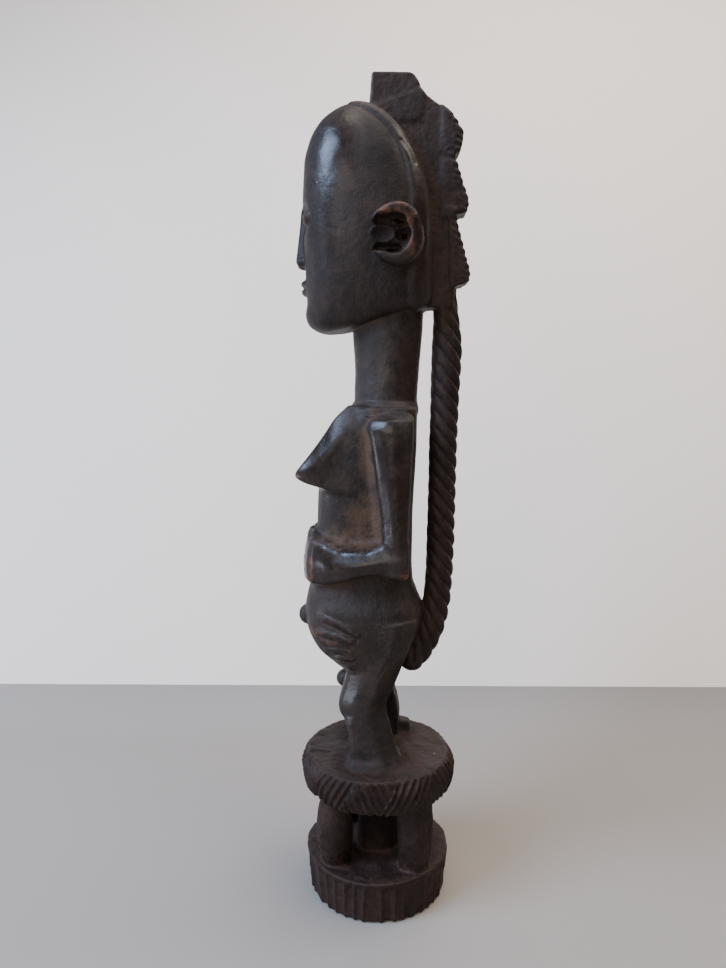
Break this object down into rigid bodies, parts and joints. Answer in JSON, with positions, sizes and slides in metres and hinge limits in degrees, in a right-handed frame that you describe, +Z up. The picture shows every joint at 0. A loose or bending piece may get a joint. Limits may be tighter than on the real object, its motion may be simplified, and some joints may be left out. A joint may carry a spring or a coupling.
{
  "type": "carved ancestor figure",
  "caption": "Carved dark wood female ancestor figure with crest and long braid, hands on belly, standing on a round pillared stool.",
  "frame": {"origin": "centre of the flat underside of the stool's lower disc", "axes": "+Z up from the base to the crest, -Y the way the figure faces, +X the figure's left side"},
  "size_m": [0.068, 0.0715, 0.343],
  "materials": {
    "stool_wood": "matte dusty dark brown carved hardwood",
    "body_wood": "near black patinated hardwood, polished by handling",
    "head_wood": "near black patinated hardwood, glossy on the forehead",
    "hair_wood": "matte brown textured carved hardwood"
  },
  "bodies": {
    "root": {"lower_disc": "stool_wood", "stool_core": "stool_wood", "stool_pillar_front_left": "stool_wood", "stool_pillar_back_left": "stool_wood", "stool_pillar_back_right": "stool_wood", "stool_pillar_front_right": "stool_wood", "platform_disc": "stool_wood", "left_foot": "body_wood", "right_foot": "body_wood", "left_shin": "body_wood", "right_shin": "body_wood", "left_thigh": "body_wood", "right_thigh": "body_wood", "hips": "body_wood", "navel_knob": "body_wood", "loin_knob": "body_wood", "torso": "body_wood", "left_breast": "body_wood", "right_breast": "body_wood", "left_upper_arm": "body_wood", "right_upper_arm": "body_wood", "left_forearm": "body_wood", "right_forearm": "body_wood", "left_hand": "body_wood", "right_hand": "body_wood", "neck": "body_wood", "head": "head_wood", "left_ear": "head_wood", "right_ear": "head_wood", "hairline_band": "head_wood", "crest_tab": "hair_wood", "crest_plate": "hair_wood", "crest_lappet_upper": "hair_wood", "crest_lappet_middle": "hair_wood", "crest_lappet_lower": "hair_wood", "braid": "hair_wood"}
  },
  "joints": []
}
